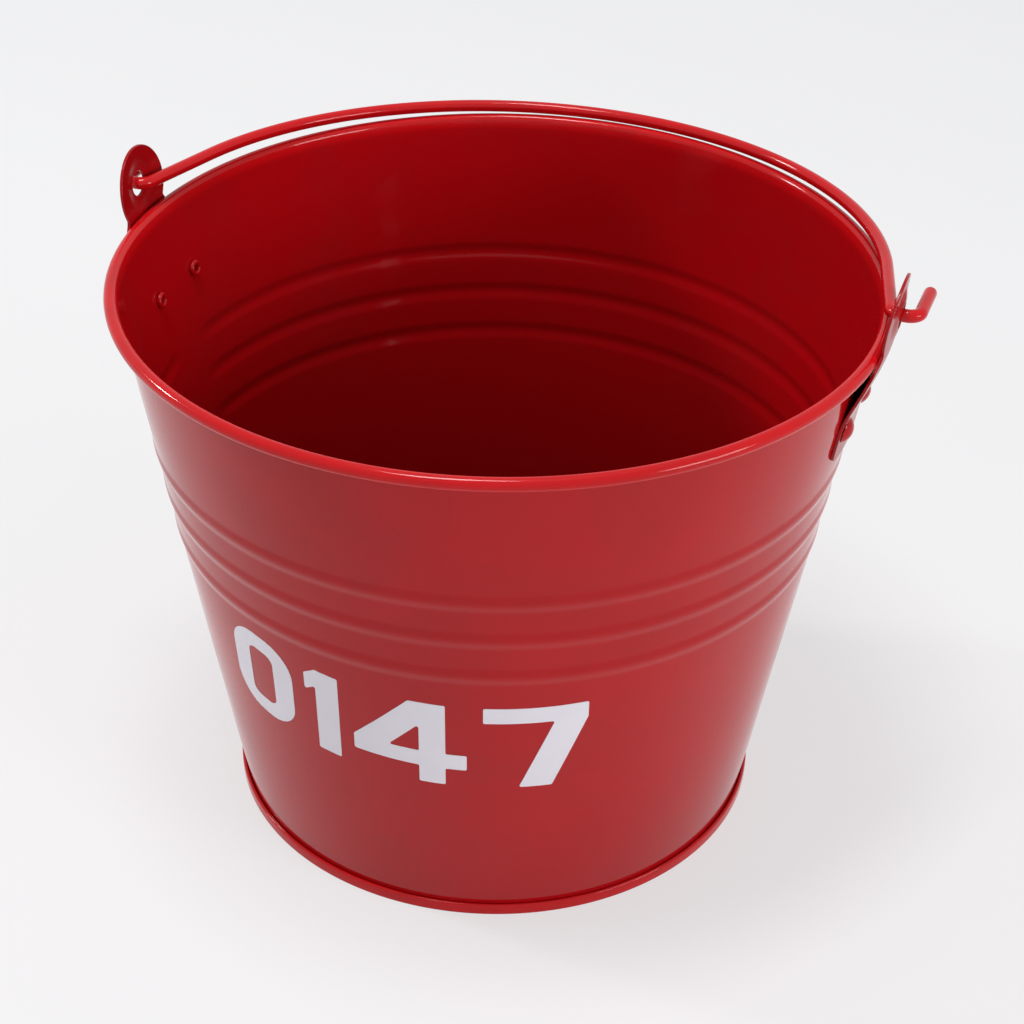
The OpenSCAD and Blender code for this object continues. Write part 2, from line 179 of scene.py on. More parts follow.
MM = 0.001
RIM_R = 150 * MM
FOOT_R = 107.5 * MM
BODY_H = 230 * MM
SHEET_T = 0.5 * MM
FOLD_GAP = 0.05 * MM
RIM_WIRE_W = 4.1 * MM
CURL_IN_R = RIM_WIRE_W / 2 + FOLD_GAP
BEAD_R = CURL_IN_R + SHEET_T
BEAD_RING_R = RIM_R - BEAD_R
BEAD_Z = BODY_H - BEAD_R
SEAM_H = 5 * MM
WALL_RUN = BEAD_RING_R - FOOT_R
WALL_RISE = BEAD_Z - SEAM_H
WALL_TILT = math.atan2(WALL_RUN, WALL_RISE) - math.asin(CURL_IN_R / math.hypot(WALL_RUN, WALL_RISE))
RIB_H = 0.6 * MM
RIB_W = 9 * MM
RIB_PITCH = 18.2 * MM
RIB_COUNT = 3
RIB_LOW_Z = 133.6 * MM
RIB_HIGH_Z = RIB_LOW_Z + (RIB_COUNT - 1) * RIB_PITCH
WELD_HALF_W = 6 * MM
WELD_FADE_W = 14 * MM
SHEET_EDGE_Z = 0.6 * MM
CURL_END = -140.4
ROUND_STEPS = 288
MERGE_GAP = 1e-6


def wall_r(z):
    """Outer radius of the plain wall at a height."""
    return FOOT_R + (z - SEAM_H) * math.tan(WALL_TILT)


def spaced(start, end, count):
    """Evenly spaced numbers from start to end, both included."""
    return [start + (end - start) * i / (count - 1) for i in range(count)]


def arc(centre, radius, start, end, count):
    """Points on an arc, in a plane of radius and height. Angles are in degrees."""
    turns = [math.radians(a) for a in spaced(start, end, count)]
    return [(centre[0] + radius * math.cos(a), centre[1] + radius * math.sin(a)) for a in turns]


def turned_tree(name):
    """Turns a line about Z, presses in ribs that fade at a weld, and gives it a thickness."""
    tree = bpy.data.node_groups.new(name, "GeometryNodeTree")
    socket = tree.interface.new_socket
    socket("Line", in_out="INPUT", socket_type="NodeSocketGeometry")
    socket("Steps", in_out="INPUT", socket_type="NodeSocketInt")
    for label in ("Rib height", "Rib width", "Rib pitch", "Lowest rib", "Highest rib"):
        socket(label, in_out="INPUT", socket_type="NodeSocketFloat")
    for label in ("Weld half width", "Weld fade", "Thickness"):
        socket(label, in_out="INPUT", socket_type="NodeSocketFloat")
    socket("Finish", in_out="INPUT", socket_type="NodeSocketMaterial")
    socket("Piece", in_out="OUTPUT", socket_type="NodeSocketGeometry")
    given = put(tree, "NodeGroupInput").outputs

    # One column of the grid is the line, and each column is turned a step further.
    rows = put(tree, "GeometryNodeAttributeDomainSize", {
        "Geometry": given["Line"]}, component="MESH")
    rows = rows.outputs["Point Count"]
    across = put(tree, "ShaderNodeMath", {0: given["Steps"], 1: 1.0}, operation="ADD").outputs[0]
    grid = put(tree, "GeometryNodeMeshGrid", {
        "Size X": 1.0, "Size Y": 1.0, "Vertices X": across, "Vertices Y": rows})
    place = put(tree, "GeometryNodeInputPosition").outputs[0]
    spot = put(tree, "ShaderNodeSeparateXYZ", {0: place}).outputs
    turn = put(tree, "ShaderNodeMapRange", {
        "Value": spot["X"], "From Min": -0.5, "From Max": 0.5,
        "To Min": -math.pi, "To Max": math.pi})
    turn = turn.outputs[0]
    last_row = put(tree, "ShaderNodeMath", {0: rows, 1: 1.0}, operation="SUBTRACT").outputs[0]
    row = put(tree, "ShaderNodeMapRange", {
        "Value": spot["Y"], "From Min": -0.5, "From Max": 0.5, "To Min": 0.0, "To Max": last_row})
    row = put(tree, "ShaderNodeMath", {0: row.outputs[0]}, operation="ROUND").outputs[0]
    point = put(tree, "GeometryNodeSampleIndex", {
        "Geometry": given["Line"], "Value": place, "Index": row}, data_type="FLOAT_VECTOR")
    point = put(tree, "ShaderNodeSeparateXYZ", {0: point.outputs["Value"]}).outputs

    # A rib is a raised cosine across its width.
    above = put(tree, "ShaderNodeMath", {
        0: point["Z"], 1: given["Lowest rib"]}, operation="SUBTRACT")
    half_pitch = put(tree, "ShaderNodeMath", {0: given["Rib pitch"], 1: 0.5}, operation="MULTIPLY")
    off_rib = put(tree, "ShaderNodeMath", {
        0: above.outputs[0], 1: half_pitch.outputs[0]}, operation="PINGPONG")
    share = put(tree, "ShaderNodeMath", {
        0: off_rib.outputs[0], 1: given["Rib width"]}, operation="DIVIDE")
    share = put(tree, "ShaderNodeMath", {0: share.outputs[0], 1: 0.5}, operation="MINIMUM")
    wave = put(tree, "ShaderNodeMath", {0: share.outputs[0], 1: 2 * math.pi}, operation="MULTIPLY")
    wave = put(tree, "ShaderNodeMath", {0: wave.outputs[0]}, operation="COSINE")
    swell = put(tree, "ShaderNodeMapRange", {
        "Value": wave.outputs[0], "From Min": -1.0, "From Max": 1.0, "To Max": given["Rib height"]})
    low_end = put(tree, "ShaderNodeMath", {
        0: given["Lowest rib"], 1: half_pitch.outputs[0]}, operation="SUBTRACT")
    high_end = put(tree, "ShaderNodeMath", {
        0: given["Highest rib"], 1: half_pitch.outputs[0]}, operation="ADD")
    over_low = put(tree, "ShaderNodeMath", {
        0: point["Z"], 1: low_end.outputs[0]}, operation="GREATER_THAN")
    under_high = put(tree, "ShaderNodeMath", {
        0: point["Z"], 1: high_end.outputs[0]}, operation="LESS_THAN")
    swell = put(tree, "ShaderNodeMath", {
        0: swell.outputs[0], 1: over_low.outputs[0]}, operation="MULTIPLY")
    swell = put(tree, "ShaderNodeMath", {
        0: swell.outputs[0], 1: under_high.outputs[0]}, operation="MULTIPLY")

    # The weld runs down the wall at -X, which is a turn of 180 degrees either way.
    off_weld = put(tree, "ShaderNodeMath", {0: turn}, operation="ABSOLUTE")
    off_weld = put(tree, "ShaderNodeMath", {
        0: math.pi, 1: off_weld.outputs[0]}, operation="SUBTRACT")
    off_weld = put(tree, "ShaderNodeMath", {
        0: off_weld.outputs[0], 1: point["X"]}, operation="MULTIPLY")
    faded = put(tree, "ShaderNodeMath", {
        0: given["Weld half width"], 1: given["Weld fade"]}, operation="ADD")
    fade = put(tree, "ShaderNodeMapRange", {
        "Value": off_weld.outputs[0], "From Min": given["Weld half width"],
        "From Max": faded.outputs[0]}, interpolation_type="SMOOTHSTEP")
    swell = put(tree, "ShaderNodeMath", {
        0: swell.outputs[0], 1: fade.outputs[0]}, operation="MULTIPLY")
    radius = put(tree, "ShaderNodeMath", {0: point["X"], 1: swell.outputs[0]}, operation="ADD")
    cosine = put(tree, "ShaderNodeMath", {0: turn}, operation="COSINE")
    sine = put(tree, "ShaderNodeMath", {0: turn}, operation="SINE")
    x = put(tree, "ShaderNodeMath", {
        0: radius.outputs[0], 1: cosine.outputs[0]}, operation="MULTIPLY")
    y = put(tree, "ShaderNodeMath", {
        0: radius.outputs[0], 1: sine.outputs[0]}, operation="MULTIPLY")
    there = put(tree, "ShaderNodeCombineXYZ", {
        "X": x.outputs[0], "Y": y.outputs[0], "Z": point["Z"]})
    skin = put(tree, "GeometryNodeSetPosition", {
        "Geometry": grid.outputs["Mesh"], "Position": there.outputs[0]})
    skin = put(tree, "GeometryNodeMergeByDistance", {
        "Geometry": skin.outputs[0], "Distance": MERGE_GAP})

    # The sheet is this skin and a copy of it, pushed along the normal and flipped. A
    # piece of no thickness is the skin alone.
    copy = put(tree, "GeometryNodeExtrudeMesh", {
        "Mesh": skin.outputs[0], "Offset Scale": given["Thickness"],
        "Individual": False}, mode="FACES")
    copy = put(tree, "GeometryNodeFlipFaces", {"Mesh": copy.outputs["Mesh"]})
    sheet = put(tree, "GeometryNodeJoinGeometry")
    tree.links.new(skin.outputs[0], sheet.inputs[0])
    tree.links.new(copy.outputs[0], sheet.inputs[0])
    no_sheet = put(tree, "ShaderNodeMath", {
        0: given["Thickness"], 1: 0.0, 2: MERGE_GAP}, operation="COMPARE")
    piece = put(tree, "GeometryNodeSwitch", {
        "Switch": no_sheet.outputs[0], "False": sheet.outputs[0], "True": skin.outputs[0]},
        input_type="GEOMETRY")
    piece = put(tree, "GeometryNodeMergeByDistance", {
        "Geometry": piece.outputs[0], "Distance": MERGE_GAP})
    finish = put(tree, "GeometryNodeRealizeInstances", {"Geometry": piece.outputs[0]})
    finish = put(tree, "GeometryNodeSetMaterial", {
        "Geometry": finish.outputs[0], "Material": given["Finish"]})
    put(tree, "NodeGroupOutput", {"Piece": finish.outputs[0]})
    return tree


def line_object(name, points):
    """A line of points in space, as an object with no faces."""
    mesh = bpy.data.meshes.new(name)
    mesh.from_pydata(points, [(i, i + 1) for i in range(len(points) - 1)], [])
    return mesh_object(name, mesh)


def run_tree(base, tree, values):
    """Runs a node tree on an object, keeps the result as its plain mesh, and drops the modifier."""
    modifier = base.modifiers.new("rule", "NODES")
    modifier.node_group = tree
    named = {item.name: item.identifier for item in tree.interface.items_tree
             if item.in_out == "INPUT"}
    for label, value in values.items():
        modifier[named[label]] = value
    graph = bpy.context.evaluated_depsgraph_get()
    result = bpy.data.meshes.new_from_object(base.evaluated_get(graph), depsgraph=graph)
    base.modifiers.clear()
    base.data = result
    result.name = base.name
    return base


def outward(piece, sharp=40):
    """Points a closed piece's faces outwards, shades it smooth, and keeps its corners sharp."""
    solid = bmesh.new()
    solid.from_mesh(piece.data)
    bmesh.ops.recalc_face_normals(solid, faces=solid.faces)
    limit = math.radians(sharp)
    for face in solid.faces:
        face.smooth = True
    for edge in solid.edges:
        edge.smooth = not edge.is_manifold or edge.calc_face_angle() < limit
    solid.to_mesh(piece.data)
    solid.free()
    return piece


# Powder coat: polyester powder melted onto the steel in an oven. It is glossy, with a
# faint orange peel that softens what it mirrors, and broad dull smears from handling.
# A noise of scale s has clouds about 1000 / s mm across, so the peel's are 1.5 mm.
RED = linear("#B80C13")
DEEP_RED = linear("#AA0810")
# Painted light: the brighter red of the bead, the foot seam and the bail.
PAINTED_LIGHT_RED = linear("#CA0F15")
# Painted shade: the deeper reds inside, darkest at the bottom.
INSIDE_SHADE_RED = linear("#AB0810")
BOTTOM_SHADE_RED = linear("#84060B")
SMEAR = linear("#96181A")
MOTTLE_SCALE = 14.0
SMEAR_SCALE = 22.0
SMEAR_MOST = 0.35
HAZE_SCALE = 45.0
HAZE_LEAST = -0.03
HAZE_MOST = 0.05
PEEL_SCALE = 650.0
PEEL_DEPTH = 0.012 * MM
COAT_SPECULAR = 0.24
# Heights over which the painted shade inside deepens.
INSIDE_SHADE_Z = 170 * MM
BOTTOM_SHADE_Z = 40 * MM
LOOKS_INWARD = -40 * MM


def powder_coat(name, red, deep_red, painted_light_red, roughness):
    """Red powder coat: its two mottled reds, its painted-light red at the rim and the foot, and its
    roughness.
    """
    material, tree, shader, coords = new_material(name)
    cloud = put(tree, "ShaderNodeTexNoise", {
        "Vector": coords, "Scale": MOTTLE_SCALE, "Detail": 3.0})
    colour = put(tree, "ShaderNodeMix", {
        0: cloud.outputs["Fac"], "A": red, "B": deep_red}, data_type="RGBA")

    # Painted light: the bead and the foot seam are a brighter red than the wall between them.
    height = put(tree, "ShaderNodeSeparateXYZ", {0: coords}).outputs["Z"]
    top = put(tree, "ShaderNodeMapRange", {
        "Value": height, "From Min": BODY_H - 2.4 * BEAD_R, "From Max": BODY_H - 1.6 * BEAD_R})
    foot = put(tree, "ShaderNodeMapRange", {
        "Value": height, "From Min": SEAM_H + 1.2 * MM, "From Max": SEAM_H + 0.4 * MM})
    edge = put(tree, "ShaderNodeMath", {0: top.outputs[0], 1: foot.outputs[0]}, operation="MAXIMUM")
    colour = put(tree, "ShaderNodeMix", {
        0: edge.outputs[0], "A": colour.outputs["Result"], "B": painted_light_red}, data_type="RGBA")

    # Painted shade: inside, the red is deeper, and deepest at the bottom, where least light
    # reaches.
    # A face is inside where it looks back at the axis, or up from within the foot.
    level = put(tree, "ShaderNodeVectorMath", {0: coords, 1: (1, 1, 0)}, operation="MULTIPLY")
    normal = put(tree, "ShaderNodeNewGeometry").outputs["True Normal"]
    facing = put(tree, "ShaderNodeVectorMath", {
        0: level.outputs[0], 1: normal}, operation="DOT_PRODUCT")
    inside = put(tree, "ShaderNodeMapRange", {
        "Value": facing.outputs["Value"], "From Min": 0.0, "From Max": LOOKS_INWARD})
    under_bead = put(tree, "ShaderNodeMapRange", {
        "Value": height, "From Min": BODY_H - BEAD_R, "From Max": BODY_H - 3 * BEAD_R})
    inside = put(tree, "ShaderNodeMath", {
        0: inside.outputs[0], 1: under_bead.outputs[0]}, operation="MULTIPLY")
    radius = put(tree, "ShaderNodeVectorMath", {0: level.outputs[0]}, operation="LENGTH")
    within = put(tree, "ShaderNodeMapRange", {
        "Value": radius.outputs["Value"], "From Min": FOOT_R, "From Max": FOOT_R - 2 * MM})
    upward = put(tree, "ShaderNodeSeparateXYZ", {0: normal}).outputs["Z"]
    floor_part = put(tree, "ShaderNodeMath", {
        0: within.outputs[0], 1: upward}, operation="MULTIPLY", use_clamp=True)
    inside = put(tree, "ShaderNodeMath", {
        0: inside.outputs[0], 1: floor_part.outputs[0]}, operation="MAXIMUM")
    depth = put(tree, "ShaderNodeMapRange", {
        "Value": height, "From Min": INSIDE_SHADE_Z, "From Max": BOTTOM_SHADE_Z})
    painted_shade = put(tree, "ShaderNodeMix", {
        0: depth.outputs[0], "A": INSIDE_SHADE_RED, "B": BOTTOM_SHADE_RED}, data_type="RGBA")
    colour = put(tree, "ShaderNodeMix", {
        0: inside.outputs[0], "A": colour.outputs["Result"], "B": painted_shade.outputs["Result"]},
        data_type="RGBA")

    # The smears are a little browner than the clean coat.
    smear = put(tree, "ShaderNodeTexNoise", {
        "Vector": coords, "Scale": SMEAR_SCALE, "Detail": 5.0, "Roughness": 0.65,
        "Distortion": 0.6})
    dull = put(tree, "ShaderNodeMapRange", {
        "Value": smear.outputs["Fac"], "From Min": 0.45, "From Max": 0.75, "To Max": SMEAR_MOST})
    colour = put(tree, "ShaderNodeMix", {
        0: dull.outputs[0], "A": colour.outputs["Result"], "B": SMEAR}, data_type="RGBA")
    tree.links.new(colour.outputs["Result"], shader.inputs["Base Color"])

    haze = put(tree, "ShaderNodeTexNoise", {"Vector": coords, "Scale": HAZE_SCALE, "Detail": 4.0})
    rough = put(tree, "ShaderNodeMapRange", {
        "Value": haze.outputs["Fac"], "From Min": 0.3, "From Max": 0.7,
        "To Min": roughness + HAZE_LEAST, "To Max": roughness + HAZE_MOST})
    tree.links.new(rough.outputs[0], shader.inputs["Roughness"])
    shader.inputs["Specular IOR Level"].default_value = COAT_SPECULAR
    grain = put(tree, "ShaderNodeTexNoise", {"Vector": coords, "Scale": PEEL_SCALE, "Detail": 1.0})
    bump = put(tree, "ShaderNodeBump", {
        "Height": grain.outputs["Fac"], "Strength": 1.0, "Distance": PEEL_DEPTH})
    tree.links.new(bump.outputs[0], shader.inputs["Normal"])
    return material


coat = powder_coat("gloss_red_powder_coat", RED, DEEP_RED, PAINTED_LIGHT_RED, 0.10)

# The line starts inside the bottom seam and runs up the inner face of the wall, close
# together over the ribs, then round the bead and back under it.
skin = SHEET_T / math.cos(WALL_TILT)
levels = spaced(SHEET_EDGE_Z, RIB_LOW_Z - 9 * MM, 9)
levels += spaced(RIB_LOW_Z - 8 * MM, RIB_HIGH_Z + 8 * MM, 84)
levels += spaced(RIB_HIGH_Z + 10 * MM, BEAD_Z - 3 * MM, 7)
body_line = [(wall_r(z) - skin, 0, z) for z in levels]
tilt = math.degrees(WALL_TILT)
body_line += [(r, 0, z) for r, z in arc((BEAD_RING_R, BEAD_Z), BEAD_R, 180 - tilt, CURL_END, 26)]
turned = turned_tree("turned_sheet")
body = run_tree(line_object("rolled_body", body_line), turned, {
    "Steps": ROUND_STEPS, "Rib height": RIB_H, "Rib width": RIB_W, "Rib pitch": RIB_PITCH,
    "Lowest rib": RIB_LOW_Z, "Highest rib": RIB_HIGH_Z, "Weld half width": WELD_HALF_W,
    "Weld fade": WELD_FADE_W, "Thickness": SHEET_T, "Finish": coat})
outward(body)
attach(body, "bucket")
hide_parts("bucket_shell")


# Rim wire: a plain round steel wire, 4.1 mm thick, round which the rim is curled. The
# curl hides all but a thin line of it, so it keeps the shape that the CAD gives it.

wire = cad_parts["rim_wire"]
wire.data.materials.clear()
wire.data.materials.append(coat)


# Base: one disc of the same sheet. Its edge is drawn down, folded out along the ground
# and up round the foot of the wall, and rolled over into a double seam.

SEAM_OUT_R = FOOT_R + 3 * SHEET_T + 3 * FOLD_GAP
CHUCK_R = FOOT_R - 2 * SHEET_T - FOLD_GAP
PANEL_Z = 6 * MM
FOLD_END_Z = 1.7 * MM

# What the turning tree is given for a piece without ribs.
NO_RIBS = {
    "Rib height": 0.0, "Rib width": 1.0, "Rib pitch": 1.0, "Lowest rib": -9.0, "Highest rib": -9.0,
    "Weld half width": 0.0, "Weld fade": 1.0}


def rounded(points, radii, count=7):
    """A line of flat points with each inner corner turned into an arc of its own radius."""
    line = [points[0]]
    for before, corner, after, radius in zip(points, points[1:], points[2:], radii):
        corner = Vector(corner)
        back = (Vector(before) - corner).normalized()
        ahead = (Vector(after) - corner).normalized()
        half = back.angle(ahead) / 2
        inward = (back + ahead).normalized()
        centre = corner + inward * radius / math.sin(half)
        first = corner + back * radius / math.tan(half) - centre
        sweep = math.pi - 2 * half
        turn = math.copysign(sweep, back.x * ahead.y - back.y * ahead.x)
        for share in spaced(0, -turn, count):
            arm = Vector((first.x * math.cos(share) - first.y * math.sin(share),
                          first.x * math.sin(share) + first.y * math.cos(share)))
            line.append(tuple(centre + arm))
    line.append(points[-1])
    return line


pan_corners = [(0, PANEL_Z - SHEET_T), (CHUCK_R, PANEL_Z - SHEET_T), (CHUCK_R, 0)]
pan_corners += [(SEAM_OUT_R, 0), (SEAM_OUT_R, SEAM_H), (FOOT_R + FOLD_GAP, SEAM_H)]
pan_corners += [(FOOT_R + FOLD_GAP, FOLD_END_Z)]
pan_radii = [0.6 * MM, 0.75 * MM, 0.75 * MM, 0.8 * MM, 0.6 * MM]
pan_line = [(r, 0, z) for r, z in rounded(pan_corners, pan_radii)]
pan_line[1:1] = [(r, 0, PANEL_Z - SHEET_T) for r in spaced(10 * MM, 100 * MM, 10)]
pan = run_tree(line_object("base_disc", pan_line), turned, {
    "Steps": ROUND_STEPS, "Thickness": -SHEET_T, "Finish": coat, **NO_RIBS})
outward(pan)
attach(pan, "bucket")
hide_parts("base_pan")


# Ears: 1.2 mm steel plates, cut out, pressed to the round of the wall, and joggled out
# past the bead. The head has a dished boss round the hole in which the bail turns.

PIVOT_Z = BEAD_Z + 13 * MM
RIVET_Z = BEAD_Z - 29.4 * MM
EAR_T = 1.2 * MM
EAR_GAP = 0.05 * MM
EAR_BEAD_GAP = 0.3 * MM
EAR_LEAN = math.radians(6)
EAR_HOLE_R = 5 * MM
EAR_HOLE_UP = 1.6 * MM
EAR_HEAD_R = 16.8 * MM
EAR_WAIST_R = 14.5 * MM
EAR_WAIST_Z = BEAD_Z + 3 * MM
EAR_SHOULDER_H = 10 * MM
EAR_FOOT_R = 22 * MM
EAR_CORNER_R = 6 * MM
EAR_BOTTOM_Z = RIVET_Z - 13 * MM
EAR_BEND_Z = RIVET_Z + 1.5 * MM
EAR_EDGE_R = 0.3 * MM
EAR_RINGS_IN_R = 6 * MM
EAR_RINGS_OUT_R = 10.4 * MM
DISH_H = 1.0 * MM
DISH_IN_R = 5.0 * MM
DISH_OUT_R = 11.5 * MM

# Painted shade: the flat plates are a deeper red than the bead beside them. They also mirror less
# sharply.
PLATE_SHADE_RED = linear("#A20A11")
PLATE_SHADE_DEEP_RED = linear("#980910")
plate_coat = powder_coat("thin_red_powder_coat", PLATE_SHADE_RED, PLATE_SHADE_DEEP_RED, PLATE_SHADE_RED, 0.2)


def smooth(share):
    """A soft step from 0 to 1."""
    share = min(1, max(0, share))
    return share * share * (3 - 2 * share)


def ear_r(z):
    """Distance of the inner face of an ear from the axis of the bucket, at a height."""
    foot = wall_r(z) + EAR_GAP / math.cos(WALL_TILT)
    head = BEAD_RING_R + (BEAD_R + EAR_BEAD_GAP) / math.cos(EAR_LEAN)
    head += (z - BEAD_Z) * math.tan(EAR_LEAN)
    share = smooth((z - EAR_BEND_Z) / (BEAD_Z + BEAD_R - EAR_BEND_Z))
    return foot * (1 - share) + head * share


def ear_half_outline():
    """Half of an ear's edge, seen from the front about the hole, from its top to its foot."""
    waist = EAR_WAIST_Z - PIVOT_Z
    foot = EAR_BOTTOM_Z - PIVOT_Z
    low = math.degrees(math.asin((waist + EAR_HOLE_UP) / EAR_HEAD_R))
    line = arc((0, -EAR_HOLE_UP), EAR_HEAD_R, 90, low, 56)
    for share in spaced(0, 1, 20)[1:]:
        width = EAR_WAIST_R + (EAR_FOOT_R - EAR_WAIST_R) * smooth(share)
        line.append((width, waist - EAR_SHOULDER_H * share))
    line += [(EAR_FOOT_R, z) for z in spaced(waist - EAR_SHOULDER_H, foot + EAR_CORNER_R, 14)[1:-1]]
    corner = (EAR_FOOT_R - EAR_CORNER_R, foot + EAR_CORNER_R)
    line += arc(corner, EAR_CORNER_R, 0, -90, 14)
    return line + [(y, foot) for y in spaced(corner[0], 0, 14)[1:]]


def ear_mesh(name, side):
    """An ear as rings about its bail hole, out to the edge and back on the inner face."""
    half = ear_half_outline()
    edge = half + [(-y, z) for y, z in half[-2:0:-1]]
    hole = EAR_HOLE_R + EAR_EDGE_R
    near = [hole] + spaced(EAR_RINGS_IN_R, EAR_RINGS_OUT_R, 12)
    far = spaced(0.06, 1, 28)
    faces_out = [("ring", r) for r in near] + [("share", s) for s in far]
    round_off = [math.radians(a) for a in (22.5, 45, 67.5)]
    corner_w = EAR_EDGE_R / EAR_T
    corner = [(corner_w * (1 - math.cos(a)), math.sin(a)) for a in round_off]
    loop = [(kind, amount, 1.0, 0.0) for kind, amount in faces_out]
    loop += [("share", 1.0, 1 - through, swell) for through, swell in corner]
    loop += [("share", 1.0, 1 - corner_w, 1.0), ("share", 1.0, corner_w, 1.0)]
    loop += [("share", 1.0, through, swell) for through, swell in reversed(corner)]
    loop += [(kind, amount, 0.0, 0.0) for kind, amount in reversed(faces_out)]
    loop += [("hole", hole, through, swell) for through, swell in corner]
    loop += [("hole", hole, corner_w, 1.0), ("hole", hole, 1 - corner_w, 1.0)]
    loop += [("hole", hole, 1 - through, swell) for through, swell in reversed(corner)]
    points = []
    for kind, amount, through, swell in loop:
        for y, z in edge:
            reach = math.hypot(y, z)
            inset = reach - EAR_EDGE_R
            if kind == "share":
                r = EAR_RINGS_OUT_R + (inset - EAR_RINGS_OUT_R) * amount + EAR_EDGE_R * swell
            elif kind == "ring":
                r = amount
            else:
                r = amount - EAR_EDGE_R * swell
            py, pz = y / reach * r, z / reach * r
            dish = DISH_H * (1 - smooth((r - DISH_IN_R) / (DISH_OUT_R - DISH_IN_R)))
            height = PIVOT_Z + pz
            radius = ear_r(height) + EAR_T / math.cos(WALL_TILT) * through + dish
            points.append((side * math.sqrt(radius ** 2 - py ** 2), py, height))
    count = len(edge)
    faces = []
    for i in range(len(loop)):
        for j in range(count):
            a = i * count + j
            b = i * count + (j + 1) % count
            c = ((i + 1) % len(loop)) * count + (j + 1) % count
            d = ((i + 1) % len(loop)) * count + j
            faces.append((a, b, c, d))
    mesh = bpy.data.meshes.new(name)
    mesh.from_pydata(points, [], faces)
    mesh.materials.append(plate_coat)
    return mesh


for side, name in ((-1, "left_ear"), (1, "right_ear")):
    ear = outward(mesh_object(name + "_plate", ear_mesh(name + "_plate", side)))
    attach(ear, "bucket")
    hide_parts(name)


# Rivets: semi-tubular steel rivets. The head is outside on the ear, and the drilled end
# of the shank is rolled over against the wall inside. They were coated with the bucket.

RIVET_R = 2 * MM
RIVET_HEAD_R = 5 * MM
RIVET_HEAD_H = 2.4 * MM
RIVET_TAIL_R = 3.4 * MM
RIVET_TAIL_H = 2 * MM
RIVET_HOLLOW_R = 1.3 * MM
RIVET_LIP_W = 0.2 * MM
DRILL_TIP_H = 0.4 * MM
RIVET_HALF_SPAN = 15.25 * MM
RIVET_STEPS = 40

tail_sag = wall_r(RIVET_Z) - math.sqrt(wall_r(RIVET_Z) ** 2 - RIVET_TAIL_R ** 2)
seat = EAR_GAP + SHEET_T + tail_sag
head_top_z = RIVET_Z + RIVET_HEAD_R
bend_off = ear_r(head_top_z) - wall_r(head_top_z) - EAR_GAP
head_seat = EAR_T + bend_off * math.cos(WALL_TILT)
ball_r = (RIVET_HEAD_R ** 2 + RIVET_HEAD_H ** 2) / (2 * RIVET_HEAD_H)
dome_edge = math.degrees(math.asin(RIVET_HEAD_R / ball_r))
roll_r = RIVET_TAIL_H / 2
roll_z = -seat - roll_r
rivet_line = arc((0, head_seat + RIVET_HEAD_H - ball_r), ball_r, 90, 90 - dome_edge, 14)
rivet_line[0] = (0, head_seat + RIVET_HEAD_H)
rivet_line += [(RIVET_HEAD_R - RIVET_LIP_W, head_seat), (RIVET_R, head_seat), (RIVET_R, -seat)]
rivet_line += arc((RIVET_TAIL_R - roll_r, roll_z), roll_r, 90, -180, 16)
rivet_line += [(RIVET_HOLLOW_R, roll_z), (RIVET_HOLLOW_R, -seat / 2)]
rivet_line += [(0, -seat / 2 + DRILL_TIP_H)]
rivet_line = [(r, 0, z) for r, z in rivet_line]
one_rivet = run_tree(line_object("one_rivet", rivet_line), turned, {
    "Steps": RIVET_STEPS, "Thickness": 0.0, "Finish": coat, **NO_RIBS})


def set_tree(name):
    """Sets a copy of a piece on each point, facing along the point's own direction."""
    tree = bpy.data.node_groups.new(name, "GeometryNodeTree")
    tree.interface.new_socket("Points", in_out="INPUT", socket_type="NodeSocketGeometry")
    tree.interface.new_socket("Copied piece", in_out="INPUT", socket_type="NodeSocketObject")
    tree.interface.new_socket("Finish", in_out="INPUT", socket_type="NodeSocketMaterial")
    tree.interface.new_socket("Pieces", in_out="OUTPUT", socket_type="NodeSocketGeometry")
    given = put(tree, "NodeGroupInput").outputs
    facing = put(tree, "GeometryNodeInputNamedAttribute", {
        "Name": "facing"}, data_type="FLOAT_VECTOR")
    turn = put(tree, "FunctionNodeAlignRotationToVector", {
        "Vector": facing.outputs["Attribute"]}, axis="Z")
    copied = put(tree, "GeometryNodeObjectInfo", {"Object": given["Copied piece"]})
    copies = put(tree, "GeometryNodeInstanceOnPoints", {
        "Points": given["Points"], "Instance": copied.outputs["Geometry"],
        "Rotation": turn.outputs[0]})
    copies = put(tree, "GeometryNodeRealizeInstances", {"Geometry": copies.outputs[0]})
    copies = put(tree, "GeometryNodeSetMaterial", {
        "Geometry": copies.outputs[0], "Material": given["Finish"]})
    put(tree, "NodeGroupOutput", {"Pieces": copies.outputs[0]})
    return tree


reach = ear_r(RIVET_Z)
rivet_turn = math.asin(RIVET_HALF_SPAN / reach)
flat = math.cos(WALL_TILT)
rivet_points = []
rivet_facings = []
for side in (-1, 1):
    for row in (-1, 1):
        across = side * math.cos(row * rivet_turn)
        along = math.sin(row * rivet_turn)
        rivet_points.append((reach * across, reach * along, RIVET_Z))
        rivet_facings += [flat * across, flat * along, -math.sin(WALL_TILT)]
rivet_mesh = bpy.data.meshes.new("ear_rivets")
rivet_mesh.from_pydata(rivet_points, [], [])
facings = rivet_mesh.attributes.new("facing", "FLOAT_VECTOR", "POINT")
facings.data.foreach_set("vector", rivet_facings)
rivets = run_tree(mesh_object("ear_rivets", rivet_mesh), set_tree("set_on_points"), {
    "Copied piece": one_rivet, "Finish": coat})
bpy.data.objects.remove(one_rivet)
outward(rivets)
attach(rivets, "bucket")
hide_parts("left_front_rivet", "left_back_rivet", "right_front_rivet", "right_back_rivet")


# Bail: one length of 5 mm steel wire. Each end goes out through its ear and is hooked
# back along the outside, so that it can't slip out. It lies folded back over the rim.

